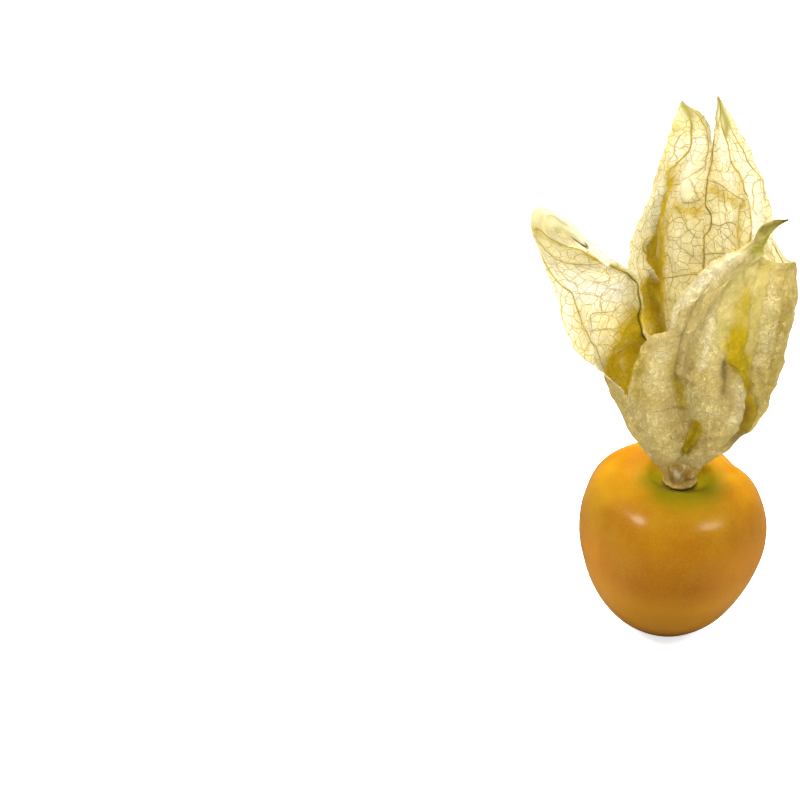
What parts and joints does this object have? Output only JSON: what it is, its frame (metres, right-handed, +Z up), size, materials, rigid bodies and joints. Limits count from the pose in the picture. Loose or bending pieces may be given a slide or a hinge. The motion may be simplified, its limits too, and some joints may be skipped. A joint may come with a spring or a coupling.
{
  "type": "physalis berry",
  "caption": "Ripe golden physalis berry standing on its fruit, its dry papery husk split and peeled up into an open crown of veined sepals.",
  "frame": {"origin": "centre of the small flat on the berry's underside, where it rests on the surface", "axes": "+Z up, from the berry to the tips of the husk; -Y towards the side with the front sepal, +X towards the right sepal, -X towards the sepal that leans out and hooks over"},
  "size_m": [0.0286, 0.0243, 0.0617],
  "materials": {
    "berry_skin": "gloss",
    "dry_stalk": "matte",
    "husk_neck": "matte",
    "husk_paper": "matte"
  },
  "bodies": {
    "root": {"berry": "berry_skin", "stalk": "dry_stalk", "husk_neck": "husk_neck", "sepal_front": "husk_paper", "sepal_right": "husk_paper", "sepal_back_right": "husk_paper", "sepal_back_left": "husk_paper", "sepal_left": "husk_paper"}
  },
  "joints": []
}
